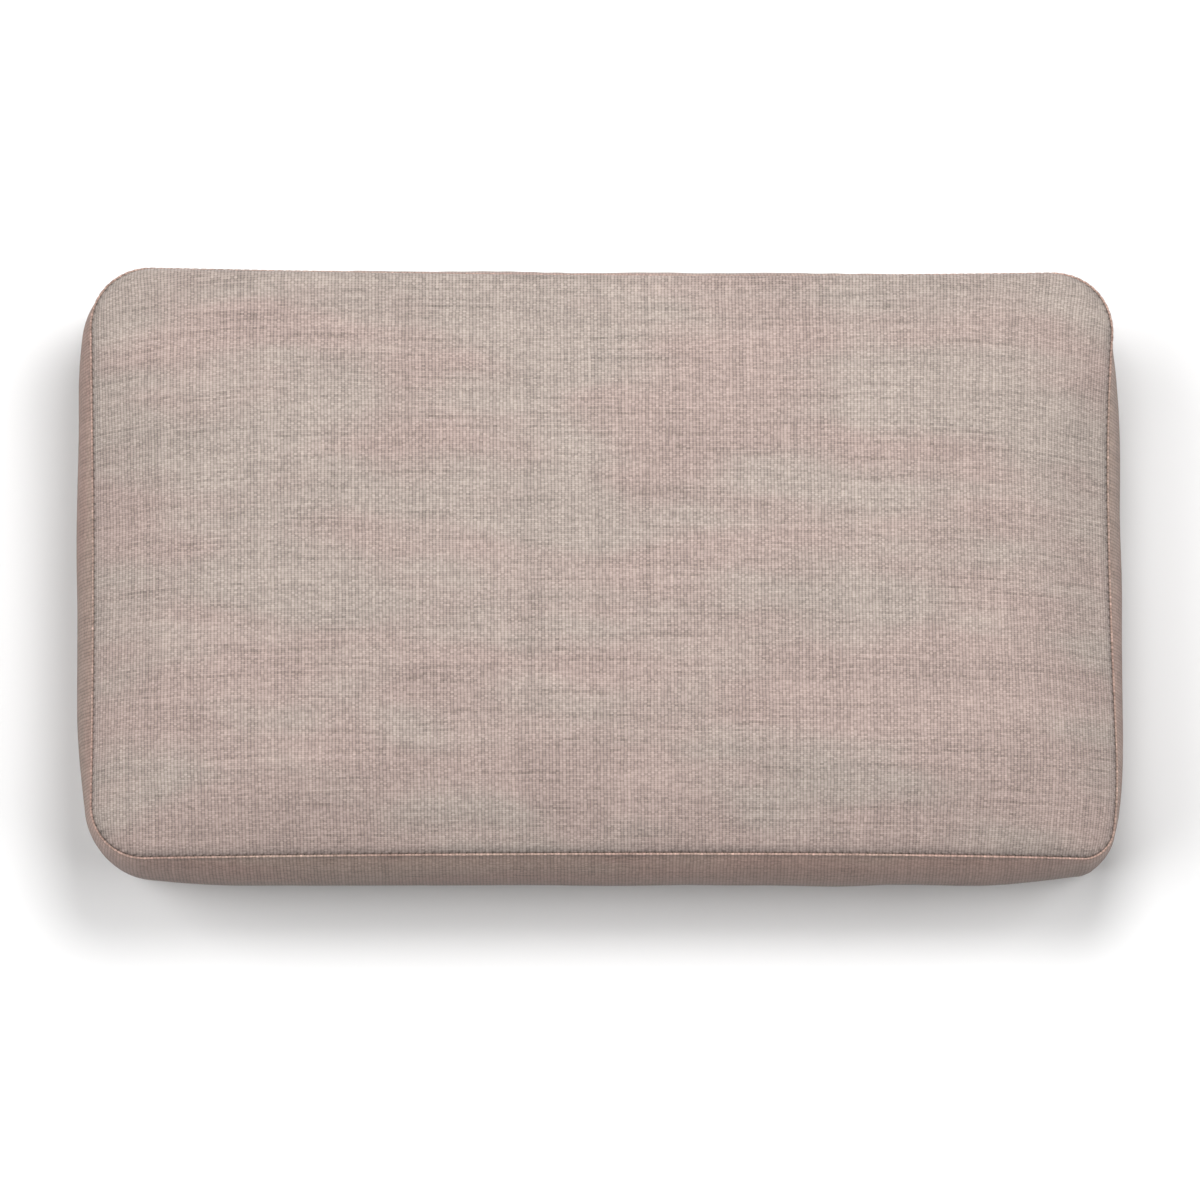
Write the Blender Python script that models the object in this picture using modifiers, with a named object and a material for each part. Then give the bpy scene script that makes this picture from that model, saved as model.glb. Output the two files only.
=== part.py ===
"""A boxed back cushion lying on its back: a crowned front panel and a back panel sewn to a boxing band.

Metres, +Z up. The front panel faces up. +Y is the cushion's top edge and +X the right-hand side of
someone who looks at its front. The origin is the middle of its base, in the flat patch it rests on.
"""

import math
from collections import namedtuple

import bmesh
import bpy
from mathutils import Matrix, Vector

# Seam outline in plan before it is drawn in, and the heights of the two seams
SEAM_HALF_WIDTH = 0.3160
SEAM_HALF_HEIGHT = 0.1830
BACK_SEAM = 0.0130
FRONT_SEAM = 0.1110

# Crown of the front panel, and the rolled edge of the back panel round its flat patch
SHOULDER_RISE = 0.0170
SHOULDER_REACH = 0.0500
SHOULDER_POWER = 2.9
DOME_RISE = 0.0120
BACK_REACH = 0.0400
BACK_POWER = 2.2

# Thickness of a panel's cloth, and the space that parts it from the filled body
CLOTH = 0.0020
GAP = 0.00045

# Cells of the cage before Subdivision Surface, and how much they narrow towards the rim
CELLS_X = 16
CELLS_Y = 10
BOXING_ROWS = 4
RIM_DENSITY = 0.45
ON_RIM = 0.999

# Powers of the distance from the middle: a higher one keeps an effect nearer the rim or the corner
DRAW_IN_POWER = 3
CORNER_POWER = 3
CORNER_BULGE_POWER_X = 7
CORNER_BULGE_POWER_Y = 3

# A side's seam is drawn in by draw_in, most of all at peak, which runs from -1 to 1 along +X or +Y.
# The boxing bulges past the line that the seam would have if it weren't drawn in.
Side = namedtuple("Side", "draw_in peak bulge")
LEFT = Side(draw_in=0.0020, peak=-0.1, bulge=0.0110)
RIGHT = Side(draw_in=0.0080, peak=0.25, bulge=0.0050)
TOP = Side(draw_in=0.0040, peak=0.1, bulge=0.0045)
BOTTOM = Side(draw_in=0.0030, peak=0.2, bulge=0.0140)

# A corner of the seam lies right_by and up_by away from the plain rectangle's, and drop lower than
# the middle of its sides.
Corner = namedtuple("Corner", "radius right_by up_by drop bulge")
CORNERS = {
    (-1, 1): Corner(radius=0.038, right_by=0.0055, up_by=-0.0030, drop=0.003, bulge=0.0040),
    (1, 1): Corner(radius=0.038, right_by=0.0080, up_by=-0.0060, drop=0.005, bulge=0.0),
    (-1, -1): Corner(radius=0.033, right_by=0.0088, up_by=-0.0035, drop=0.003, bulge=0.0045),
    (1, -1): Corner(radius=0.033, right_by=0.0085, up_by=-0.0045, drop=0.003, bulge=0.0005),
}

PANEL_COLOUR = (0.497, 0.407, 0.366, 1.0)
BOXING_COLOUR = (0.470, 0.383, 0.343, 1.0)
CLOTH_ROUGHNESS = 0.92


def clear_scene():
    for old in list(bpy.data.objects):
        bpy.data.objects.remove(old, do_unlink=True)


def new_collection(name):
    collection = bpy.data.collections.new(name)
    bpy.context.scene.collection.children.link(collection)
    return collection


def cloth_material(name, colour):
    material = bpy.data.materials.new(name)
    material.use_nodes = True
    shader = material.node_tree.nodes["Principled BSDF"]
    shader.inputs["Base Color"].default_value = colour
    shader.inputs["Roughness"].default_value = CLOTH_ROUGHNESS
    shader.inputs["Metallic"].default_value = 0.0
    material.diffuse_color = colour
    return material


def sign(value):
    return -1 if value < 0 else 1


def towards_rim(share):
    """Spreads even cage cells so that they narrow towards the rim, for share from -1 to 1."""
    return share * (1 + RIM_DENSITY - RIM_DENSITY * share**2)


def corner_at(s, t):
    return CORNERS[sign(s), sign(t)]


def rounded(s, t):
    """(plan point, outward direction) of the seam rectangle with round corners.

    s runs from -1 at the left side to 1 at the right, and t from -1 at the bottom to 1 at the top.
    """
    radius = corner_at(s, t).radius
    straight = Vector((SEAM_HALF_WIDTH - radius, SEAM_HALF_HEIGHT - radius))
    size = Vector((abs(s) * SEAM_HALF_WIDTH, abs(t) * SEAM_HALF_HEIGHT))
    past = Vector((max(size.x - straight.x, 0), max(size.y - straight.y, 0)))
    outward = past.normalized()
    inner = Vector((min(size.x, straight.x), min(size.y, straight.y)))
    point = inner + outward * max(past.x, past.y)
    turn = Vector((sign(s), sign(t)))
    return point * turn, outward * turn


def between_corners(s, t, field):
    """A corner value, mixed between the four corners."""
    total = 0
    for (side_x, side_y), corner in CORNERS.items():
        share = (1 + side_x * s) * (1 + side_y * t) / 4
        total += share * getattr(corner, field)
    return total


def hump(along, peak):
    """1 at peak and 0 at both ends of a side, for along from -1 to 1."""
    reach = 1 - peak * sign(along - peak)
    return 1 - ((along - peak) / reach) ** 2


def sides_at(s, t):
    side_x = RIGHT if s > 0 else LEFT
    side_y = TOP if t > 0 else BOTTOM
    return side_x, side_y


def undrawn(s, t):
    """Plan point and outward direction, with the corners moved but the sides not drawn in."""
    point, outward = rounded(s, t)
    point.x += between_corners(s, t, "right_by")
    point.y += between_corners(s, t, "up_by")
    return point, outward


def drawn_in(s, t):
    """Plan point at the height of a seam, once the sides are drawn in between the corners."""
    point, _ = undrawn(s, t)
    side_x, side_y = sides_at(s, t)
    point.x -= s**DRAW_IN_POWER * side_x.draw_in * hump(t, side_x.peak)
    point.y -= t**DRAW_IN_POWER * side_y.draw_in * hump(s, side_y.peak)
    return point


def boxing_middle(s, t):
    """Plan point of the boxing half way between the seams, at a rim point."""
    point, outward = undrawn(s, t)
    side_x, side_y = sides_at(s, t)
    along_side = side_x.bulge * outward.x**2 + side_y.bulge * outward.y**2
    to_corner = corner_at(s, t).bulge - along_side
    near_corner = abs(s) ** CORNER_BULGE_POWER_X * abs(t) ** CORNER_BULGE_POWER_Y
    return point + outward * (along_side + to_corner * near_corner)


def depth_inside_seam(s, t):
    """Distance in from the seam, along contours whose corners get rounder towards the middle.

    The contour at depth d has the seam's corner radius plus d, so no ridge runs in from a corner.
    """
    radius = corner_at(s, t).radius
    point, _ = rounded(s, t)
    from_side = SEAM_HALF_WIDTH - abs(point.x)
    from_end = SEAM_HALF_HEIGHT - abs(point.y)
    nearest = min(from_side, from_end)
    if radius - max(from_side, from_end) + 2 * nearest <= 0:
        return nearest
    u = radius - from_side
    v = radius - from_end
    # (u + 2d)^2 + (v + 2d)^2 = (radius + d)^2, solved for d
    a = 7
    b = 4 * (u + v) - 2 * radius
    c = u**2 + v**2 - radius**2
    return max(0.0, (-b + math.sqrt(max(b**2 - 4 * a * c, 0.0))) / (2 * a))


def shoulder(depth, reach, power):
    """0 at the seam, rising steeply and then levelling out at 1 once depth is past reach."""
    return 1 - (1 - min(depth / reach, 1)) ** power


def front_height(s, t):
    seam = FRONT_SEAM - corner_at(s, t).drop * abs(s * t) ** CORNER_POWER
    rise = SHOULDER_RISE * shoulder(depth_inside_seam(s, t), SHOULDER_REACH, SHOULDER_POWER)
    dome = DOME_RISE * (1 - s**2) * (1 - t**2)
    return seam + rise + dome


def back_height(s, t):
    return BACK_SEAM * (1 - shoulder(depth_inside_seam(s, t), BACK_REACH, BACK_POWER))


def place_front_panel(s, t, w):
    plan = drawn_in(s, t)
    return plan.x, plan.y, front_height(s, t) - CLOTH * (1 - w)


def place_back_panel(s, t, w):
    plan = drawn_in(s, t)
    return plan.x, plan.y, back_height(s, t) + CLOTH * w


def place_body(s, t, w):
    """The filled cushion between the two panels; w goes from its back face, 0, to its front face, 1."""
    plan = drawn_in(s, t)
    low = back_height(s, t) + CLOTH + GAP
    high = front_height(s, t) - CLOTH - GAP
    if max(abs(s), abs(t)) > ON_RIM:
        plan = plan.lerp(boxing_middle(s, t), 4 * w * (1 - w))
    return plan.x, plan.y, low + (high - low) * w


def is_upright(edge):
    return edge.verts[0].co.z != edge.verts[1].co.z


def is_rim(edge):
    """Whether the edge joins a side face to the top or the bottom."""
    return len({abs(round(face.normal.z)) for face in edge.link_faces}) == 2


def box_cage(rows):
    """A closed box from -1 to 1 in plan and 0 to 1 in height, in a grid of cells, with creased rims."""
    bm = bmesh.new()
    bmesh.ops.create_grid(bm, x_segments=CELLS_X, y_segments=CELLS_Y, size=1)
    raised = bmesh.ops.extrude_face_region(bm, geom=list(bm.faces), use_keep_orig=True)["geom"]
    upper = [v for v in raised if isinstance(v, bmesh.types.BMVert)]
    bmesh.ops.translate(bm, verts=upper, vec=(0, 0, 1))
    if rows > 1:
        uprights = [e for e in bm.edges if is_upright(e)]
        bmesh.ops.subdivide_edges(bm, edges=uprights, cuts=rows - 1, use_grid_fill=True)
    bmesh.ops.recalc_face_normals(bm, faces=bm.faces)
    crease = bm.edges.layers.float.new("crease_edge")
    for edge in bm.edges:
        edge[crease] = float(is_rim(edge))
    return bm


def soft_solid(name, rows, place, material, collection):
    """A box cage whose points place() moves, smoothed by Subdivision Surface."""
    bm = box_cage(rows)
    for vertex in bm.verts:
        s = towards_rim(vertex.co.x)
        t = towards_rim(vertex.co.y)
        vertex.co = place(s, t, vertex.co.z)
    mesh = bpy.data.meshes.new(name)
    bm.to_mesh(mesh)
    bm.free()
    mesh.shade_smooth()
    mesh.materials.append(material)
    solid = bpy.data.objects.new(name, mesh)
    collection.objects.link(solid)
    smooth = solid.modifiers.new("smooth", "SUBSURF")
    smooth.levels = 1
    smooth.render_levels = 1
    return solid


def centre_on_origin(solids):
    """Moves the cages together, so that the origin is the middle of the whole cushion's base."""
    bpy.context.view_layer.update()
    graph = bpy.context.evaluated_depsgraph_get()
    corners = [Vector(c) for solid in solids for c in solid.evaluated_get(graph).bound_box]
    low = Vector([min(c[axis] for c in corners) for axis in range(3)])
    high = Vector([max(c[axis] for c in corners) for axis in range(3)])
    base = Vector(((low.x + high.x) / 2, (low.y + high.y) / 2, low.z))
    for solid in solids:
        solid.data.transform(Matrix.Translation(-base))


def build_cushion():
    clear_scene()
    cushion = new_collection("back_cushion")
    panel_cloth = cloth_material("panel_cloth", PANEL_COLOUR)
    boxing_cloth = cloth_material("boxing_cloth", BOXING_COLOUR)
    solids = [
        soft_solid("front_panel", 1, place_front_panel, panel_cloth, cushion),
        soft_solid("cushion_body", BOXING_ROWS, place_body, boxing_cloth, cushion),
        soft_solid("back_panel", 1, place_back_panel, panel_cloth, cushion),
    ]
    centre_on_origin(solids)


build_cushion()
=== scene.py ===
"""Looks of a boxed back cushion: crowned panels, bulging boxing and stitched seams in a woven cloth."""

import math
from collections import namedtuple

import bmesh
import bpy
import numpy as np
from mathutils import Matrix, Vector
from mathutils.bvhtree import BVHTree
from mathutils.interpolate import poly_3d_calc


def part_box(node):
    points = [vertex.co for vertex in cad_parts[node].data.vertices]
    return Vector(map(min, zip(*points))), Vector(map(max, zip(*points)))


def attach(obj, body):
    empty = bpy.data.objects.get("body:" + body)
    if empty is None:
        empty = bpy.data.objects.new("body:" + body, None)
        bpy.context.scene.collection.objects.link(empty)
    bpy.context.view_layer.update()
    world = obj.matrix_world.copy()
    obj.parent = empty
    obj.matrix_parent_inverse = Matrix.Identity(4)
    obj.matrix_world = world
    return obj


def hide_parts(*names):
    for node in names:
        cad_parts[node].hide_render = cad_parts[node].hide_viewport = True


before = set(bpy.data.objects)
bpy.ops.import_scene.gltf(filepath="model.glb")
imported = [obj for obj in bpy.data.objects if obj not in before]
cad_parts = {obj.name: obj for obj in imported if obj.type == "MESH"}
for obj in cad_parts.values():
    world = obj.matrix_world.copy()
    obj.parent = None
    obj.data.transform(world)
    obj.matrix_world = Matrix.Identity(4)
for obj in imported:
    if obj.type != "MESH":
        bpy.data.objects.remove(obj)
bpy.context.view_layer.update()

# Seam outline in plan before it is drawn in, and the heights of the two seams
HALF_WIDTH = 0.3160
HALF_HEIGHT = 0.1830
HALF_SIZE = np.array([HALF_WIDTH, HALF_HEIGHT])
BACK_SEAM = 0.0130
FRONT_SEAM = 0.1110

# A side's seam is drawn in by draw_in, most of all at peak, which runs from -1 to 1 along +X or +Y.
# The boxing bulges past the undrawn line, and the front panel's edge rolls out over the seam by roll.
Side = namedtuple("Side", "draw_in peak bulge roll")
LEFT = Side(draw_in=0.0020, peak=-0.1, bulge=0.0108, roll=0.0)
RIGHT = Side(draw_in=0.0080, peak=0.25, bulge=0.0025, roll=0.0)
TOP = Side(draw_in=0.0040, peak=0.1, bulge=0.0040, roll=0.0026)
BOTTOM = Side(draw_in=0.0030, peak=0.2, bulge=0.0110, roll=0.0)
DRAW_IN_POWER = 3

# A corner of the seam lies right_by and up_by away from the plain rectangle's, and drop lower than the
# middle of its sides. The boxing bulges past it by bulge, and the side that runs up to it is tucked in.
Corner = namedtuple("Corner", "radius right_by up_by drop bulge tuck")
CORNERS = {
    (-1, 1): Corner(radius=0.038, right_by=0.0055, up_by=-0.0030, drop=0.003, bulge=0.0020, tuck=0.0),
    (1, 1): Corner(radius=0.041, right_by=0.0075, up_by=-0.0060, drop=0.005, bulge=-0.0085, tuck=0.0),
    (-1, -1): Corner(radius=0.033, right_by=0.0088, up_by=-0.0035, drop=0.003, bulge=0.0025, tuck=0.0),
    (1, -1): Corner(radius=0.016, right_by=0.0084, up_by=-0.0037, drop=0.003, bulge=0.0018, tuck=0.0105),
}

# Powers of the distance from the middle: a higher one keeps an effect nearer the rim or the corner
DROP_POWER = 3
TUCK_POWER_X = 3
TUCK_POWER_Y = 6
CORNER_BULGE_POWER_X = 7
CORNER_BULGE_POWER_Y = 3

# Steps of a corner's arc, and the scale that brings x (1 - x)^2 to 1 at its peak
ARC_STEPS = 48
ROLL_SCALE = 6.75

# Rise of a panel from its seam: a steep rolled edge, then a shoulder, then a dome over the middle
Face = namedtuple("Face", "side edge_rise edge_reach shoulder_rise shoulder_reach shoulder_power dome_rise")
FRONT = Face(1, 0.0030, 0.0060, 0.0160, 0.0600, 2.6, 0.0060)
BACK = Face(-1, 0.0030, 0.0060, 0.0100, 0.0400, 2.2, 0.0)

# The seam's ditch, and the boxing's bead beside it
DITCH_DEPTH = 0.0004
DITCH_REACH = 0.0005
ROLL_REACH = 0.0120
BEAD_RADIUS = 0.0008
BEAD_OUT = 0.0003
BEAD_DOWN = 0.0004
BEAD_START = math.radians(200)
BEAD_END = math.radians(-40)
UNDERCUT_DEPTH = 0.0010
UNDERCUT_REACH = 0.0015

# Stitches: their pitch, how much of it one takes up, and how it pinches the bead and dimples the panel
STITCH_PITCH = 0.0052
STITCH_SHARE = 0.16
PINCH = 0.15
DIMPLE_DEPTH = 0.0004
DIMPLE_INSET = 0.0010
DIMPLE_WIDTH = 0.0006

# A stitch runs through these points: distance out from the seam, height above it and radius
STITCH_PATH = (
    (-0.0010, 0.0011, 0.00014),
    (-0.0008, 0.0010, 0.00026),
    (-0.0005, 0.0007, 0.00030),
    (-0.0002, 0.0003, 0.00026),
    (0.0000, -0.0001, 0.00014),
)
STITCH_SIDES = 6

# Puckers beside the seams and the slow unevenness of the boxing
PANEL_PUCKER = 0.00030
BOXING_PUCKER = 0.00060
PUCKER_REACH = 0.0120
PUCKER_START = 0.0030
PUCKER_WAVES = (60, 150)
SWAY_HEIGHT = 0.0005
SWAY_WAVES = (4, 26)

# Cloth thickness of the panels, how far the body's hidden faces lie under a panel's outer face, and how
# far in a face moves as a share of how far under it lies
CLOTH = 0.0014
UNDER_PANEL = 0.0034
UNDER_IN = 0.6

# Rings of points: how many points each has, its first and last inset and how many rings
PANEL_RINGS = ((2048, 0.0, 0.0050, 10), (1024, 0.0065, 0.0180, 8), (512, 0.0215, 0.0600, 11))
LINING_RINGS = ((1024, 0.0030, 0.0030, 1), (512, 0.0070, 0.0070, 1), (256, 0.0140, 0.0600, 5))
BAND_COUNT = 1024
BAND_ROWS = 30
BAND_MARGIN = 2.2
BEAD_ROWS = 9
TRIAL_COUNT = 256
TRIAL_RINGS = ((TRIAL_COUNT, 0.0, 0.0600, 10),)
TRIAL_ROWS = 15

# Painted shade on the cloth, as point values: 1 is dark, and below 0 is painted highlight, lighter than the
# plain cloth
# Painted shade in the seam's ditch and at each stitch's dimple on the panels
DITCH_PAINTED_SHADE = 0.15
DITCH_PAINTED_SHADE_WIDTH = 0.0008
STITCH_PAINTED_SHADE = 1.1
STITCH_PAINTED_SHADE_INSET = 0.0006
STITCH_PAINTED_SHADE_WIDTH = 0.0007
# Painted shade on the boxing just under the front bead
BEAD_PAINTED_SHADE = 0.35
BEAD_PAINTED_SHADE_REACH = 0.006
# Painted shade that darkens the boxing towards its back seam
BASE_PAINTED_SHADE = 0.95
BASE_PAINTED_SHADE_START = 0.95
BASE_PAINTED_SHADE_REACH = 0.45
# Painted shade at the bead's edges, and painted highlight in uneven flecks along its top
BEAD_EDGE_PAINTED_SHADE = 0.30
FLECK_PAINTED_HIGHLIGHT = 1.0
FLECK_PITCH = 0.0038
FLECK_WAVES = (60, 500)
FLECK_BASE = 0.25
FLECK_UNEVENNESS = 0.5
FLECK_LIMITS = (0.2, 1.8)

# Cloth simulation that swells the cushion: its settings, the most that a point may move, and how many
# times its moves are averaged
PRESSURE = 4.0
SLACK = 0.003
LAST_FRAME = 20
MOST_SWELL = 0.0040
EVENING_STEPS = 12

# Weave: the width of a warp rib and of a weft yarn, and how the weft droops towards the side seams
RIB = 0.002064
WEFT = 0.00125
DROOP = 0.017
DROOP_START = 0.55
DROOP_AT_BOTTOM = 0.2

# Brightness of the plain cloth, and how much each part of the weave changes it
PLAIN_VALUE = 0.91
CONTRAST = {
    "rib": 0.45,
    "weft": 0.16,
    "cell": 0.36,
    "warp_yarn": 0.12,
    "weft_yarn": 0.08,
    "warp_slub": 0.16,
    "weft_slub": 0.30,
    "fibre": 0.30,
    "cloud": 0.24,
}
CROSSING_VALUE = 0.05
HOLE_VALUE = -0.30
PALE_WEFT_VALUE = 0.07
# How much the painted shade darkens the cloth's colour, and painted highlight below 0 lightens it
PAINTED_SHADE_STRENGTH = -0.45

# How many times each noise repeats in a metre of cloth, along the weft and along the warp
WAVER_SCALE = (60, 60)
FIBRE_SCALE = (700, 1100)
CLOUD_SCALE = (14, 38)
HUE_SCALE = (7, 18)
SLUB_ALONG_WARP = 22
SLUB_ALONG_WEFT = 15
WARP_WAVER = 0.3
WEFT_WAVER = 0.8
# Painted light: the colour turns greener along the warp, so a panel is greener at its top, as the tint of
# the light from above
PAINTED_TINT_ALONG_WARP = 0.5


def sides(points):
    """s and t, from -1 to 1 across the plain rectangle, of plain plan points."""
    return (points / HALF_SIZE).T


def pick(value, low_side, high_side, field):
    """The field of the side that each value is on."""
    return np.where(value > 0, getattr(high_side, field), getattr(low_side, field))


def corner_mix(s, t, field):
    """A corner value, mixed between the four corners."""
    total = 0
    for (side_x, side_y), corner in CORNERS.items():
        total = total + (1 + side_x * s) * (1 + side_y * t) / 4 * getattr(corner, field)
    return total


def near(value, middle, width):
    """1 at middle, falling smoothly to 0 a few widths away."""
    return math.exp(-(((value - middle) / width) ** 2))


def hump(along, peak):
    """1 at peak and 0 at both ends of a side, for along from -1 to 1."""
    reach = 1 - peak * np.sign(along - peak)
    return 1 - ((along - peak) / reach) ** 2


def corner_moved(plain):
    """Plan points with the corners moved but the sides not drawn in."""
    s, t = sides(plain)
    tuck = corner_mix(s, t, "tuck") * s**TUCK_POWER_X * np.abs(t) ** TUCK_POWER_Y
    moved = np.stack([corner_mix(s, t, "right_by") - tuck, corner_mix(s, t, "up_by")], 1)
    return plain + moved


def drawn_in(plain):
    s, t = sides(plain)
    in_x = pick(s, LEFT, RIGHT, "draw_in") * hump(t, pick(s, LEFT, RIGHT, "peak"))
    in_y = pick(t, BOTTOM, TOP, "draw_in") * hump(s, pick(t, BOTTOM, TOP, "peak"))
    drawn = np.stack([s**DRAW_IN_POWER * in_x, t**DRAW_IN_POWER * in_y], 1)
    return corner_moved(plain) - drawn


def plain_outline(inset, count):
    """Even points of the rounded rectangle that runs inset inside the seam, and outward directions.

    They run anticlockwise from the middle of the top side.
    """
    line = [(0, HALF_HEIGHT - inset)]
    outward = [(0, 1)]
    for start, side_x, side_y in ((90, -1, 1), (180, -1, -1), (270, 1, -1), (0, 1, 1)):
        radius = CORNERS[side_x, side_y].radius + inset
        centre_x = side_x * (HALF_WIDTH - inset - radius)
        centre_y = side_y * (HALF_HEIGHT - inset - radius)
        for step in range(ARC_STEPS + 1):
            angle = math.radians(start + 90 * step / ARC_STEPS)
            line.append((centre_x + radius * math.cos(angle), centre_y + radius * math.sin(angle)))
            outward.append((math.cos(angle), math.sin(angle)))
    line = np.array(line + line[:1])
    outward = np.array(outward + outward[:1])
    steps = np.linalg.norm(np.diff(line, axis=0), axis=1)
    length = np.concatenate(([0], np.cumsum(steps)))
    along = np.linspace(0, length[-1], count, endpoint=False)
    points = np.stack([np.interp(along, length, line[:, axis]) for axis in (0, 1)], 1)
    directions = np.stack([np.interp(along, length, outward[:, axis]) for axis in (0, 1)], 1)
    return points, directions / np.linalg.norm(directions, axis=1, keepdims=True)


def frame_shift():
    """Moves the seam's outline so that its box is centred on the frame's front panel."""
    seam = drawn_in(plain_outline(0, BAND_COUNT)[0])
    low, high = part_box("front_panel")
    middle = (np.array(low) + np.array(high))[:2] / 2
    return middle - (seam.min(0) + seam.max(0)) / 2


SHIFT = frame_shift()
SEAM_LENGTH = np.linalg.norm(np.diff(drawn_in(plain_outline(0, 4096)[0]), axis=0), axis=1).sum()
STITCHES = round(SEAM_LENGTH / STITCH_PITCH)


def wander(count, waves, seed):
    """A smooth closed random curve round the seam, of count values mostly between -1 and 1."""
    rng = np.random.default_rng(seed)
    angle = np.linspace(0, 2 * math.pi, count, endpoint=False)
    numbers = range(waves[0], waves[1] + 1)
    total = sum(rng.normal() * np.cos(n * angle + rng.uniform(0, 2 * math.pi)) for n in numbers)
    return total / math.sqrt(len(numbers))


def stitch_pinch(count):
    """1 at each stitch and 0 half way between two, round the seam."""
    share = (np.arange(count) / count * STITCHES) % 1
    return np.exp(-(((share - 0.5) / STITCH_SHARE) ** 2))


def rise(face, inset):
    """Height of the rolled edge and the shoulder at an inset from the seam."""
    edge = 1 - min(inset / face.edge_reach, 1)
    shoulder = 1 - min(inset / face.shoulder_reach, 1)
    return face.edge_rise * (1 - edge**2) + face.shoulder_rise * (1 - shoulder**face.shoulder_power)


def seam_height(face, s, t):
    if face is BACK:
        return np.full_like(s, BACK_SEAM)
    return FRONT_SEAM - corner_mix(s, t, "drop") * np.abs(s * t) ** DROP_POWER


def panel_height(face, plain, inset):
    s, t = sides(plain)
    dome = face.dome_rise * (1 - s**2) * (1 - t**2)
    return seam_height(face, s, t) + face.side * (rise(face, inset) + dome)


def extra_length(face, inset):
    """How much longer the cloth is than its plan, from the shoulder's inner end out to an inset."""
    insets = np.linspace(inset, max(face.shoulder_reach, inset), 60)
    heights = [rise(face, i) for i in insets]
    return np.hypot(np.diff(insets), np.diff(heights)).sum() - (insets[-1] - insets[0])


def cloth_place(plain, outward, extra):
    """Where points lie on the flat cloth, whose weft droops towards the side seams."""
    flat = plain + outward * extra
    s, t = sides(plain)
    past = np.clip((np.abs(s) - DROOP_START) / (1 - DROOP_START), 0, None)
    flat[:, 1] += DROOP * past**2 * (DROOP_AT_BOTTOM + (1 - DROOP_AT_BOTTOM) * ((1 + t) / 2) ** 2)
    return flat


# A ring's last field holds each point's painted shade, and painted highlight where it is below 0
Ring = namedtuple("Ring", "points plain uv crease")


def closed_uv(uv, turn=0.0):
    """The cloth coordinates with the first repeated at the end, turn further along."""
    last = uv[:1] + np.array([[turn, 0.0]])
    return np.concatenate([uv, last])


def panel_ring(face, inset, count, under=0.0, detailed=True):
    """One ring of a panel's cloth; under puts it that far inside the outer face."""
    plain, outward = plain_outline(inset, count)
    s, t = sides(plain)
    inward = np.zeros(count)
    height = panel_height(face, plain, inset)
    crease = np.zeros(count)
    if face is FRONT:
        roll = pick(s, LEFT, RIGHT, "roll") * outward[:, 0] ** 2
        roll = roll + pick(t, BOTTOM, TOP, "roll") * outward[:, 1] ** 2
        along_roll = min(inset / ROLL_REACH, 1)
        inward -= roll * ROLL_SCALE * along_roll * (1 - along_roll) ** 2
    if detailed:
        inward += DITCH_DEPTH * math.exp(-inset / DITCH_REACH)
        lift = PANEL_PUCKER * math.exp(-inset / PUCKER_REACH) * min(inset / PUCKER_START, 1)
        height = height + face.side * lift * wander(count, PUCKER_WAVES, 3)
        pinch = stitch_pinch(count)
        dimple = DIMPLE_DEPTH * near(inset, DIMPLE_INSET, DIMPLE_WIDTH) * pinch
        inward += dimple
        height = height - face.side * dimple
        # Painted shade in the seam's ditch and at each stitch's dimple
        crease += DITCH_PAINTED_SHADE * near(inset, 0, DITCH_PAINTED_SHADE_WIDTH)
        at_stitch = STITCH_PAINTED_SHADE * pinch * near(inset, STITCH_PAINTED_SHADE_INSET, STITCH_PAINTED_SHADE_WIDTH)
        crease = np.maximum(crease, at_stitch)
    if under:
        height = height - face.side * under
    plan = drawn_in(plain) + SHIFT - outward * (inward + under * UNDER_IN)[:, None]
    uv = closed_uv(cloth_place(plain, outward, extra_length(face, inset)))
    return Ring(np.column_stack([plan, np.maximum(height, 0.0)]), plain, uv, crease)


def rings_of(face, levels, under=0.0, detailed=True):
    rings = []
    for count, first, last, number in levels:
        for inset in np.linspace(first, last, number):
            rings.append(panel_ring(face, inset, count, under, detailed))
    return rings


def boxing_middle(plain, outward):
    """Plan points of the boxing half way between its seams."""
    s, t = sides(plain)
    along_side = pick(s, LEFT, RIGHT, "bulge") * outward[:, 0] ** 2
    along_side = along_side + pick(t, BOTTOM, TOP, "bulge") * outward[:, 1] ** 2
    to_corner = corner_mix(s, t, "bulge") - along_side
    near_corner = np.abs(s) ** CORNER_BULGE_POWER_X * np.abs(t) ** CORNER_BULGE_POWER_Y
    bulge = along_side + to_corner * near_corner
    return corner_moved(plain) + outward * bulge[:, None]


def band_points(count, share, detailed=True):
    """Points round the boxing at a share of its height, 0 at the back seam and 1 at the front one."""
    plain, outward = plain_outline(0, count)
    s, t = sides(plain)
    low, high = seam_height(BACK, s, t), seam_height(FRONT, s, t)
    seam = drawn_in(plain)
    fullness = 4 * share * (1 - share)
    plan = seam + (boxing_middle(plain, outward) - seam) * fullness
    if detailed:
        to_seam = min(share, 1 - share) * (FRONT_SEAM - BACK_SEAM)
        seed = 5 if share > 0.5 else 7
        pucker = BOXING_PUCKER * math.exp(-to_seam / PUCKER_REACH) * wander(count, PUCKER_WAVES, seed)
        sway = SWAY_HEIGHT * fullness * wander(count, SWAY_WAVES, 11)
        undercut = UNDERCUT_DEPTH * math.exp(-to_seam / UNDERCUT_REACH)
        plan = plan + outward * (pucker + sway - undercut)[:, None]
    height = low + (high - low) * share
    return plain, np.column_stack([plan + SHIFT, height])


def bead_points(face, count, angle):
    """Points round the boxing's bead, which pinches in at each stitch."""
    plain, outward = plain_outline(0, count)
    s, t = sides(plain)
    pinched = stitch_pinch(count)
    radius = BEAD_RADIUS * (1 - PINCH * pinched)
    out = BEAD_OUT - PINCH * BEAD_RADIUS * pinched + radius * math.cos(angle)
    height = seam_height(face, s, t) + face.side * (radius * math.sin(angle) - BEAD_DOWN)
    plan = drawn_in(plain) + SHIFT + outward * out[:, None]
    return plain, np.column_stack([plan, height])


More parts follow.
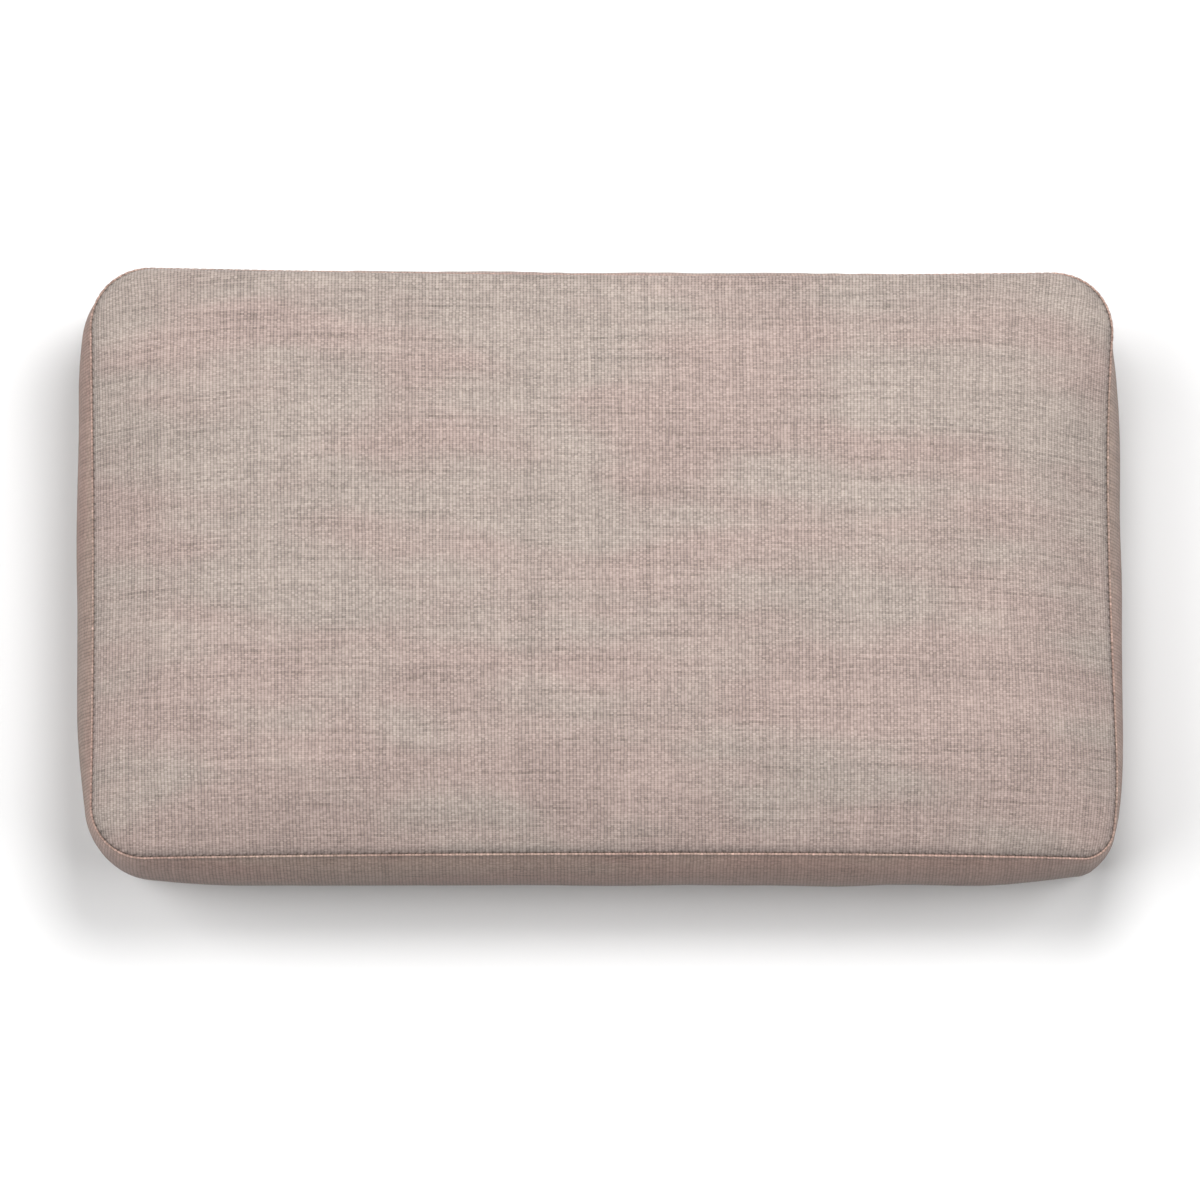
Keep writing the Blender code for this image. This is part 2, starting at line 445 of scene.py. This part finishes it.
class ClothMesh:
    """Rings of points and the faces between them, with each face's cloth coordinates."""

    def __init__(self):
        self.points = []
        self.crease = []
        self.faces = []
        self.uvs = []
        self.total = 0

    def add(self, points, crease):
        first = self.total
        self.points.append(points)
        self.crease.append(crease)
        self.total += len(points)
        return first

    def add_ring(self, ring):
        return self.add(ring.points, ring.crease), ring

    def face(self, *corners):
        """corners are (point number, cloth coordinate) pairs."""
        self.faces.append([number for number, _ in corners])
        self.uvs.extend(uv for _, uv in corners)

    def bridge(self, placed_a, placed_b):
        """Joins two rings, of which one may have twice the other's points."""
        (first_a, a), (first_b, b) = placed_a, placed_b
        if len(a.points) < len(b.points):
            first_a, a, first_b, b = first_b, b, first_a, a
        count_a, count_b = len(a.points), len(b.points)

        def at_a(i):
            return first_a + i % count_a, a.uv[i]

        def at_b(i):
            return first_b + i % count_b, b.uv[i]

        for i in range(count_b):
            if count_a == count_b:
                self.face(at_a(i), at_a(i + 1), at_b(i + 1), at_b(i))
                continue
            self.face(at_a(2 * i), at_a(2 * i + 1), at_b(i))
            self.face(at_a(2 * i + 1), at_b(i + 1), at_b(i))
            self.face(at_a(2 * i + 1), at_a(2 * i + 2), at_b(i + 1))

    def bridge_all(self, placed):
        for a, b in zip(placed, placed[1:]):
            self.bridge(a, b)

    def cap(self, placed, face, inset, under=0.0):
        """Closes a panel inside its innermost ring with a grid."""
        first, ring = placed
        count = len(ring.points)
        radius = inset + CORNERS[1, 1].radius
        half_top = HALF_WIDTH - inset - radius + radius * math.pi / 4
        half_right = HALF_HEIGHT - inset - radius + radius * math.pi / 4
        ny = 2 * round(count / 4 * half_right / (half_top + half_right))
        nx = count // 2 - ny
        number = -np.ones((nx + 1, ny + 1), int)
        edge = [(nx // 2 - i, ny) for i in range(nx // 2)]
        edge += [(0, ny - j) for j in range(ny)]
        edge += [(i, 0) for i in range(nx)]
        edge += [(nx, j) for j in range(ny)]
        edge += [(nx - i, ny) for i in range(nx // 2)]
        plain = np.zeros((nx + 1, ny + 1, 2))
        for k, (i, j) in enumerate(edge):
            number[i, j] = first + k
            plain[i, j] = ring.plain[k]
        u = np.linspace(0, 1, nx + 1)[:, None, None]
        v = np.linspace(0, 1, ny + 1)[None, :, None]
        across = (1 - u) * plain[:1] + u * plain[-1:]
        along = (1 - v) * plain[:, :1] + v * plain[:, -1:]
        corners = (1 - u) * (1 - v) * plain[:1, :1] + u * (1 - v) * plain[-1:, :1]
        corners = corners + (1 - u) * v * plain[:1, -1:] + u * v * plain[-1:, -1:]
        inner = number < 0
        plain[inner] = (across + along - corners)[inner]
        flat = plain[inner]
        height = np.maximum(panel_height(face, flat, inset) - face.side * under, 0.0)
        points = np.column_stack([drawn_in(flat) + SHIFT, height])
        start = self.add(points, np.zeros(len(points)))
        number[inner] = start + np.arange(len(points))
        uv = cloth_place(plain.reshape(-1, 2), np.zeros((plain[..., 0].size, 2)), 0).reshape(plain.shape)
        for i in range(nx):
            for j in range(ny):
                cells = ((i, j), (i + 1, j), (i + 1, j + 1), (i, j + 1))
                self.face(*[(number[c], uv[c]) for c in cells])

    def coordinates(self):
        return np.concatenate(self.points)

    def build(self, name, coordinates):
        mesh = bpy.data.meshes.new(name)
        mesh.from_pydata(coordinates.tolist(), [], [[int(n) for n in f] for f in self.faces])
        layer = mesh.uv_layers.new(name="cloth")
        layer.data.foreach_set("uv", np.array(self.uvs, dtype=np.float32).ravel())
        # Each point's painted shade, which the cloth's material reads to darken or lighten its colour
        crease = mesh.attributes.new("crease", "FLOAT", "POINT")
        crease.data.foreach_set("value", np.concatenate(self.crease).astype(np.float32))
        bm = bmesh.new()
        bm.from_mesh(mesh)
        bmesh.ops.recalc_face_normals(bm, faces=bm.faces)
        bm.to_mesh(mesh)
        bm.free()
        mesh.shade_smooth()
        made = bpy.data.objects.new(name, mesh)
        bpy.context.scene.collection.objects.link(made)
        return made


def trial_mesh():
    """The whole cushion as one closed coarse mesh, and the numbers of the points on its two seams."""
    cloth = ClothMesh()
    front = [cloth.add_ring(r) for r in rings_of(FRONT, TRIAL_RINGS, detailed=False)]
    back = [cloth.add_ring(r) for r in rings_of(BACK, TRIAL_RINGS, detailed=False)]
    no_uv = np.zeros((TRIAL_COUNT + 1, 2))
    no_painted_shade = np.zeros(TRIAL_COUNT)
    band = []
    for share in np.linspace(1, 0, TRIAL_ROWS + 1)[1:-1]:
        plain, points = band_points(TRIAL_COUNT, share, detailed=False)
        band.append(cloth.add_ring(Ring(points, plain, no_uv, no_painted_shade)))
    cloth.bridge_all(front)
    cloth.bridge_all(back)
    cloth.bridge_all([front[0]] + band + [back[0]])
    cloth.cap(front[-1], FRONT, TRIAL_RINGS[-1][2])
    cloth.cap(back[-1], BACK, TRIAL_RINGS[-1][2])
    seams = [first + i for first, _ in (front[0], back[0]) for i in range(TRIAL_COUNT)]
    return cloth, seams


def smoothed(trial, coordinates):
    """Points of the trial mesh after two steps of subdivision, and its faces."""
    trial.data.vertices.foreach_set("co", coordinates.ravel())
    trial.data.update()
    graph = bpy.context.evaluated_depsgraph_get()
    mesh = trial.evaluated_get(graph).to_mesh()
    points = np.empty(len(mesh.vertices) * 3)
    mesh.vertices.foreach_get("co", points)
    faces = [tuple(p.vertices) for p in mesh.polygons]
    trial.evaluated_get(graph).to_mesh_clear()
    return points.reshape(-1, 3), faces


def evened(moved, edges, fixed):
    """Moves averaged with their neighbours' a few times, so that no small buckle is left."""
    ends = np.array([tuple(edge.vertices) for edge in edges])
    count = np.bincount(ends.ravel(), minlength=len(moved))[:, None]
    for _ in range(EVENING_STEPS):
        total = np.zeros_like(moved)
        np.add.at(total, ends[:, 0], moved[ends[:, 1]])
        np.add.at(total, ends[:, 1], moved[ends[:, 0]])
        moved = (moved + total / count) / 2
        moved[fixed] = 0
    return moved


class Swelling:
    """How far a simulated cloth moves from the modelled cushion, to be read anywhere on it."""

    def __init__(self):
        cloth, seams = trial_mesh()
        rest = cloth.coordinates()
        trial = cloth.build("cloth_trial", rest)
        swollen = self.simulated(trial, seams)
        moved = evened(swollen - rest, trial.data.edges, seams)
        length = np.linalg.norm(moved, axis=1, keepdims=True)
        moved *= np.minimum(1, MOST_SWELL / np.maximum(length, 1e-9))
        fine = trial.modifiers.new("fine", "SUBSURF")
        fine.levels = 2
        before, self.faces = smoothed(trial, rest)
        after, _ = smoothed(trial, rest + moved)
        self.moved = after - before
        self.rest = [Vector(p) for p in before]
        self.tree = BVHTree.FromPolygons(self.rest, self.faces)
        bpy.data.objects.remove(trial, do_unlink=True)

    @staticmethod
    def simulated(trial, seams):
        pinned = trial.vertex_groups.new(name="seams")
        pinned.add(seams, 1.0, "REPLACE")
        cloth = trial.modifiers.new("cloth", "CLOTH")
        settings = cloth.settings
        settings.quality = 6
        settings.mass = 0.3
        settings.tension_stiffness = 20
        settings.compression_stiffness = 20
        settings.shear_stiffness = 5
        settings.bending_stiffness = 0.5
        settings.use_pressure = True
        settings.uniform_pressure_force = PRESSURE
        settings.effector_weights.gravity = 0
        settings.vertex_group_mass = pinned.name
        settings.shrink_min = -SLACK
        settings.shrink_max = -SLACK
        cloth.point_cache.frame_start = 1
        cloth.point_cache.frame_end = LAST_FRAME
        scene = bpy.context.scene
        for number in range(1, LAST_FRAME + 1):
            scene.frame_set(number)
        graph = bpy.context.evaluated_depsgraph_get()
        points = np.empty(len(trial.data.vertices) * 3)
        trial.evaluated_get(graph).data.vertices.foreach_get("co", points)
        trial.modifiers.remove(cloth)
        scene.frame_set(1)
        return points.reshape(-1, 3)

    def apply(self, points):
        """The points, moved as the simulated cloth moves beside them."""
        result = points.copy()
        for i, point in enumerate(points):
            place, _, index, _ = self.tree.find_nearest(Vector(point))
            corners = self.faces[index]
            weights = poly_3d_calc([self.rest[c] for c in corners], place)
            result[i] += np.dot(weights, self.moved[list(corners)])
        result[:, 2] = np.maximum(result[:, 2], 0.0)
        return result


def settle(points, swelling):
    return points if swelling is None else swelling.apply(points)


def panel(name, face, swelling):
    """A panel of cloth: its outer face from the middle to the seam, and back under itself."""
    cloth = ClothMesh()
    outer = [cloth.add_ring(r) for r in rings_of(face, PANEL_RINGS)]
    lining = [cloth.add_ring(r) for r in rings_of(face, LINING_RINGS, under=CLOTH, detailed=False)]
    cloth.bridge_all(outer)
    cloth.bridge_all([outer[0]] + lining)
    cloth.cap(outer[-1], face, PANEL_RINGS[-1][2])
    cloth.cap(lining[-1], face, LINING_RINGS[-1][2], under=CLOTH)
    return cloth.build(name, settle(cloth.coordinates(), swelling))


def highlight_flecks(count):
    """Painted highlight on the bead: how much lighter it is than the boxing, in uneven flecks round the
    seam.
    """
    along = np.arange(count) / count * SEAM_LENGTH / FLECK_PITCH
    slanted = 0.5 + 0.5 * np.cos(2 * math.pi * along)
    uneven = 1 + FLECK_UNEVENNESS * wander(count, FLECK_WAVES, 17)
    return FLECK_PAINTED_HIGHLIGHT * (FLECK_BASE + (1 - FLECK_BASE) * slanted) * np.clip(uneven, *FLECK_LIMITS)


def body(name, swelling):
    """The filled body: its sides are the boxing, and its hidden faces lie just under the panels."""
    cloth = ClothMesh()
    rows = []
    angles = np.linspace(BEAD_START, BEAD_END, BEAD_ROWS)
    # Painted shade at the bead's edges and painted highlight in flecks along its top
    bead_highlight = highlight_flecks(2 * BAND_COUNT)
    painted_shades = [BEAD_EDGE_PAINTED_SHADE - bead_highlight * math.sin(turn) for turn in np.linspace(0, math.pi, BEAD_ROWS)]
    for angle, crease in zip(angles, painted_shades):
        rows.append(bead_points(FRONT, 2 * BAND_COUNT, angle) + (crease,))
    margin = BAND_MARGIN * BEAD_RADIUS / (FRONT_SEAM - BACK_SEAM)
    for share in np.linspace(1 - margin, margin, BAND_ROWS):
        # Painted shade on the boxing just under the bead
        line = BEAD_PAINTED_SHADE * math.exp(-(1 - margin - share) / BEAD_PAINTED_SHADE_REACH)
        # Painted shade that darkens the boxing towards its back seam
        shade = BASE_PAINTED_SHADE * min(max((BASE_PAINTED_SHADE_START - share) / BASE_PAINTED_SHADE_REACH, 0), 1)
        rows.append(band_points(BAND_COUNT, share) + (line + shade,))
    for angle, crease in zip(angles[::-1], painted_shades[::-1]):
        rows.append(bead_points(BACK, 2 * BAND_COUNT, angle) + (crease,))
    placed = []
    across = 0.0
    last = None
    for plain, points, crease in rows:
        middle = points[:: len(points) // BAND_COUNT]
        if last is not None:
            across -= np.linalg.norm(middle - last, axis=1).mean()
        last = middle
        along = np.arange(len(points)) / len(points) * SEAM_LENGTH
        uv = closed_uv(np.column_stack([along, np.full(len(points), across)]), SEAM_LENGTH)
        placed.append(cloth.add_ring(Ring(points, plain, uv, crease * np.ones(len(points)))))
    cloth.bridge_all(placed)
    for face, edge in ((FRONT, placed[0]), (BACK, placed[-1])):
        hidden = [cloth.add_ring(r) for r in rings_of(face, LINING_RINGS, under=UNDER_PANEL, detailed=False)]
        cloth.bridge_all([edge] + hidden)
        cloth.cap(hidden[-1], face, LINING_RINGS[-1][2], under=UNDER_PANEL)
    return cloth.build(name, settle(cloth.coordinates(), swelling))


def stitching(name, face, swelling):
    """Short threads that cross the ditch of a seam from the panel's edge to the bead."""
    plain, outward = plain_outline(0, 4 * STITCHES)
    plain, outward = plain[2::4], outward[2::4]
    s, t = sides(plain)
    plan = drawn_in(plain) + SHIFT
    height = seam_height(face, s, t)
    centres = np.column_stack([plan, height])
    out = np.column_stack([outward, np.zeros(len(outward))])
    along = np.column_stack([-outward[:, 1], outward[:, 0], np.zeros(len(outward))])
    up = np.array([0, 0, face.side])
    points = []
    faces = []
    moved = settle(centres, swelling) - centres
    for k in range(STITCHES):
        first = len(points)
        for out_by, up_by, radius in STITCH_PATH:
            middle = centres[k] + moved[k] + out[k] * out_by + up * up_by
            for side in range(STITCH_SIDES):
                angle = 2 * math.pi * side / STITCH_SIDES
                points.append(middle + along[k] * radius * math.cos(angle) + up * radius * math.sin(angle))
        for ring in range(len(STITCH_PATH) - 1):
            for side in range(STITCH_SIDES):
                a = first + ring * STITCH_SIDES + side
                b = first + ring * STITCH_SIDES + (side + 1) % STITCH_SIDES
                faces.append((a, b, b + STITCH_SIDES, a + STITCH_SIDES))
        last = first + (len(STITCH_PATH) - 1) * STITCH_SIDES
        faces.append(tuple(range(first + STITCH_SIDES - 1, first - 1, -1)))
        faces.append(tuple(range(last, last + STITCH_SIDES)))
    mesh = bpy.data.meshes.new(name)
    mesh.from_pydata([tuple(p) for p in points], [], faces)
    bm = bmesh.new()
    bm.from_mesh(mesh)
    bmesh.ops.recalc_face_normals(bm, faces=bm.faces)
    bm.to_mesh(mesh)
    bm.free()
    mesh.shade_smooth()
    made = bpy.data.objects.new(name, mesh)
    bpy.context.scene.collection.objects.link(made)
    return made


class Shader:
    """Short calls that add nodes to a material and join them."""

    def __init__(self, name, roughness):
        self.material = bpy.data.materials.new(name)
        self.material.use_nodes = True
        self.nodes = self.material.node_tree.nodes
        self.links = self.material.node_tree.links
        self.surface = self.nodes["Principled BSDF"]
        self.surface.inputs["Roughness"].default_value = roughness
        self.surface.inputs["Metallic"].default_value = 0.0

    def put(self, socket, value):
        if hasattr(value, "is_output"):
            self.links.new(value, socket)
        else:
            socket.default_value = value

    def math(self, operation, a, b=0.0, clamp=False):
        node = self.nodes.new("ShaderNodeMath")
        node.operation = operation
        node.use_clamp = clamp
        self.put(node.inputs[0], a)
        self.put(node.inputs[1], b)
        return node.outputs[0]

    def add(self, a, b):
        return self.math("ADD", a, b)

    def times(self, a, b):
        return self.math("MULTIPLY", a, b)

    def centred(self, value, amount):
        """A value from 0 to 1, turned into one from -amount / 2 to amount / 2."""
        return self.times(self.math("SUBTRACT", value, 0.5), amount)

    def vector(self, x, y):
        node = self.nodes.new("ShaderNodeCombineXYZ")
        self.put(node.inputs[0], x)
        self.put(node.inputs[1], y)
        return node.outputs[0]

    def noise(self, vector, detail=0.0):
        node = self.nodes.new("ShaderNodeTexNoise")
        node.noise_dimensions = "2D"
        node.inputs["Scale"].default_value = 1.0
        node.inputs["Detail"].default_value = detail
        self.put(node.inputs["Vector"], vector)
        return node.outputs["Fac"]

    def random(self, value):
        node = self.nodes.new("ShaderNodeTexWhiteNoise")
        node.noise_dimensions = "1D"
        self.put(node.inputs["W"], value)
        return node.outputs["Value"]

    def random_cell(self, x, y):
        node = self.nodes.new("ShaderNodeTexWhiteNoise")
        node.noise_dimensions = "2D"
        self.put(node.inputs["Vector"], self.vector(x, y))
        return node.outputs["Value"]

    def ramp(self, value, low, high):
        """0 up to low and 1 from high, smooth between them."""
        node = self.nodes.new("ShaderNodeMapRange")
        node.interpolation_type = "SMOOTHSTEP"
        self.put(node.inputs["Value"], value)
        node.inputs["From Min"].default_value = low
        node.inputs["From Max"].default_value = high
        return node.outputs["Result"]

    def mix(self, share, a, b):
        node = self.nodes.new("ShaderNodeMix")
        node.data_type = "RGBA"
        self.put(node.inputs["Factor"], share)
        self.put(node.inputs["A"], a)
        self.put(node.inputs["B"], b)
        return node.outputs["Result"]

    def scaled(self, colour, value):
        node = self.nodes.new("ShaderNodeVectorMath")
        node.operation = "SCALE"
        self.put(node.inputs[0], colour)
        self.put(node.inputs["Scale"], value)
        return node.outputs[0]

    def attribute(self, name):
        node = self.nodes.new("ShaderNodeAttribute")
        node.attribute_name = name
        return node.outputs["Fac"]

    def cloth_coordinates(self):
        node = self.nodes.new("ShaderNodeUVMap")
        node.uv_map = "cloth"
        split = self.nodes.new("ShaderNodeSeparateXYZ")
        self.links.new(node.outputs[0], split.inputs[0])
        return split.outputs[0], split.outputs[1]

    def bump(self, height, strength, distance):
        node = self.nodes.new("ShaderNodeBump")
        node.inputs["Strength"].default_value = strength
        node.inputs["Distance"].default_value = distance
        self.links.new(height, node.inputs["Height"])
        self.links.new(node.outputs[0], self.surface.inputs["Normal"])


def woven_cloth(name, warm, cool):
    """Plain weave of uneven yarns: ribs of warp, finer weft with dark slubs, a slow change of hue with a
    painted greener tint along the warp, and the mesh's painted shade and painted highlight.
    """
    shader = Shader(name, 0.9)
    shader.surface.inputs["Specular IOR Level"].default_value = 0.2
    shader.surface.inputs["Sheen Weight"].default_value = 0.15
    shader.surface.inputs["Sheen Roughness"].default_value = 0.5
    u, v = shader.cloth_coordinates()

    def cloth_noise(scale, detail=0.0):
        return shader.noise(shader.vector(shader.times(u, scale[0]), shader.times(v, scale[1])), detail)

    waver = cloth_noise(WAVER_SCALE)
    warp = shader.add(shader.times(u, 1 / RIB), shader.centred(waver, WARP_WAVER))
    weft = shader.add(shader.times(v, 1 / WEFT), shader.centred(waver, WEFT_WAVER))
    warp_sine = shader.math("SINE", shader.times(warp, math.pi))
    weft_sine = shader.math("SINE", shader.times(weft, math.pi))
    over = shader.times(warp_sine, weft_sine)
    warp_round = shader.math("ABSOLUTE", warp_sine)
    weft_round = shader.math("ABSOLUTE", weft_sine)
    warp_top = shader.times(warp_round, shader.add(shader.times(over, 0.4), 0.6))
    weft_top = shader.times(weft_round, shader.add(shader.times(over, -0.4), 0.55))
    relief = shader.math("MAXIMUM", warp_top, weft_top)
    warp_number = shader.math("FLOOR", warp)
    weft_number = shader.math("FLOOR", weft)
    along_warp = shader.vector(shader.times(warp_number, 3.71), shader.times(v, SLUB_ALONG_WARP))
    along_weft = shader.vector(shader.times(u, SLUB_ALONG_WEFT), shader.times(weft_number, 5.37))
    rib = shader.math("POWER", warp_round, 0.6)
    weft_slub = shader.noise(along_weft, 1.0)
    signals = {
        "rib": rib,
        "weft": weft_round,
        "cell": shader.random_cell(warp_number, weft_number),
        "warp_yarn": shader.random(warp_number),
        "weft_yarn": shader.random(weft_number),
        "warp_slub": shader.noise(along_warp),
        "weft_slub": weft_slub,
        "fibre": cloth_noise(FIBRE_SCALE, 1.0),
        "cloud": cloth_noise(CLOUD_SCALE, 2.0),
    }
    value = PLAIN_VALUE
    for part, signal in signals.items():
        value = shader.add(value, shader.centred(signal, CONTRAST[part]))
    hole = shader.times(shader.ramp(rib, 0.80, 0.35), shader.ramp(weft_round, 0.75, 0.25))
    value = shader.add(value, shader.times(over, CROSSING_VALUE))
    value = shader.add(value, shader.times(hole, HOLE_VALUE))
    value = shader.add(value, shader.times(shader.ramp(weft_slub, 0.28, 0.40), PALE_WEFT_VALUE))
    # Painted shade from the mesh darkens the colour, and painted highlight lightens it
    value = shader.times(value, shader.add(1.0, shader.times(shader.attribute("crease"), PAINTED_SHADE_STRENGTH)))
    # Painted light: the hue turns greener along the warp, the tint of the light from above
    hue = shader.add(cloth_noise(HUE_SCALE, 2.0), shader.times(v, PAINTED_TINT_ALONG_WARP))
    colour = shader.mix(shader.ramp(hue, 0.35, 0.65), warm, cool)
    shader.put(shader.surface.inputs["Base Color"], shader.scaled(colour, value))
    shader.bump(relief, 0.5, 0.0004)
    return shader.material


def thread_and_hole_shade_material():
    shader = Shader("thread_and_hole_shade", 0.7)
    shader.surface.inputs["Sheen Weight"].default_value = 0.1
    place = shader.nodes.new("ShaderNodeTexCoord").outputs["Object"]
    node = shader.nodes.new("ShaderNodeTexNoise")
    node.inputs["Scale"].default_value = 900
    shader.links.new(place, node.inputs["Vector"])
    # The thread is far darker than the cloth: painted shade of the stitch holes that it sits in
    colour = shader.mix(node.outputs["Fac"], (0.10, 0.075, 0.06, 1), (0.17, 0.13, 0.11, 1))
    shader.put(shader.surface.inputs["Base Color"], colour)
    return shader.material


def dress(obj, material, slot, *nodes):
    """Puts a piece in its material, on the cushion, in the place of the frame's nodes."""
    obj.data.materials.append(material)
    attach(obj, "root")
    if nodes:
        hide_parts(*nodes)


def build_floor():
    mesh = bpy.data.meshes.new("floor")
    half_size = 4.0
    height = -0.0003
    corners = [(x * half_size, y * half_size, height) for x, y in ((-1, -1), (1, -1), (1, 1), (-1, 1))]
    mesh.from_pydata(corners, [], [(0, 1, 2, 3)])
    floor = bpy.data.objects.new("floor", mesh)
    bpy.context.scene.collection.objects.link(floor)
    shader = Shader("floor", 0.8)
    shader.surface.inputs["Base Color"].default_value = (0.90, 0.90, 0.90, 1)
    mesh.materials.append(shader.material)


def area_light(name, place, size, power):
    light = bpy.data.lights.new(name, "AREA")
    light.shape = "DISK"
    light.size = size
    light.energy = power
    holder = bpy.data.objects.new(name, light)
    holder.location = place
    holder.rotation_mode = "QUATERNION"
    holder.rotation_quaternion = (-Vector(place)).to_track_quat("-Z", "Y")
    bpy.context.scene.collection.objects.link(holder)


def soft_sun(name, side, energy):
    """A wide light from far off, high up over the cushion's left, -1, or right, 1."""
    fill = bpy.data.lights.new(name, "SUN")
    fill.energy = energy
    fill.angle = math.radians(50)
    holder = bpy.data.objects.new(name, fill)
    holder.rotation_euler = (math.radians(-3), side * math.radians(42), 0)
    bpy.context.scene.collection.objects.link(holder)


def build_studio():
    """Dim white surroundings, a soft key light beyond the top edge and a wide fill from each side."""
    world = bpy.data.worlds.new("studio")
    world.use_nodes = True
    background = world.node_tree.nodes["Background"]
    background.inputs["Color"].default_value = (1, 1, 1, 1)
    background.inputs["Strength"].default_value = 0.04
    bpy.context.scene.world = world
    bpy.context.scene.view_settings.view_transform = "Standard"
    area_light("key", place=(0.15, 0.51, 1.56), size=0.65, power=15.4)
    soft_sun("fill_left", side=-1, energy=2.12)
    soft_sun("fill_right", side=1, energy=1.42)


def build_camera():
    """The photograph's view: far off, and tilted a few degrees from square on towards the bottom edge."""
    tilt = math.radians(8)
    distance = 5.0
    aim = Vector((0.0004, -0.0131, 0.0680))
    camera = bpy.data.cameras.new("camera")
    camera.sensor_width = 36
    camera.lens = 242.6
    holder = bpy.data.objects.new("camera", camera)
    holder.location = aim + distance * Vector((0, -math.sin(tilt), math.cos(tilt)))
    holder.rotation_euler = (tilt, 0, 0)
    bpy.context.scene.collection.objects.link(holder)
    bpy.context.scene.camera = holder


build_camera()
build_studio()
build_floor()

swelling = Swelling()
front_cloth = panel("front_cloth", FRONT, swelling)
back_cloth = panel("back_cloth", BACK, swelling)
body_cloth = body("body_cloth", swelling)
front_stitches = stitching("front_stitches", FRONT, swelling)
back_stitches = stitching("back_stitches", BACK, swelling)

panel_weave = woven_cloth("panel_weave", warm=(0.330, 0.257, 0.231, 1), cool=(0.320, 0.269, 0.239, 1))
# The boxing has the panel's weave in darker, redder colours: painted shade for the boxing, which faces away
# from the light above
shaded_boxing_weave = woven_cloth("shaded_boxing_weave", warm=(0.338, 0.228, 0.191, 1), cool=(0.326, 0.238, 0.198, 1))
thread_and_hole_shade = thread_and_hole_shade_material()
dress(front_cloth, panel_weave, "panel_cloth", "front_panel")
dress(back_cloth, panel_weave, "panel_cloth", "back_panel")
dress(body_cloth, shaded_boxing_weave, "boxing_cloth", "cushion_body")
dress(front_stitches, thread_and_hole_shade, "boxing_cloth")
dress(back_stitches, thread_and_hole_shade, "boxing_cloth")
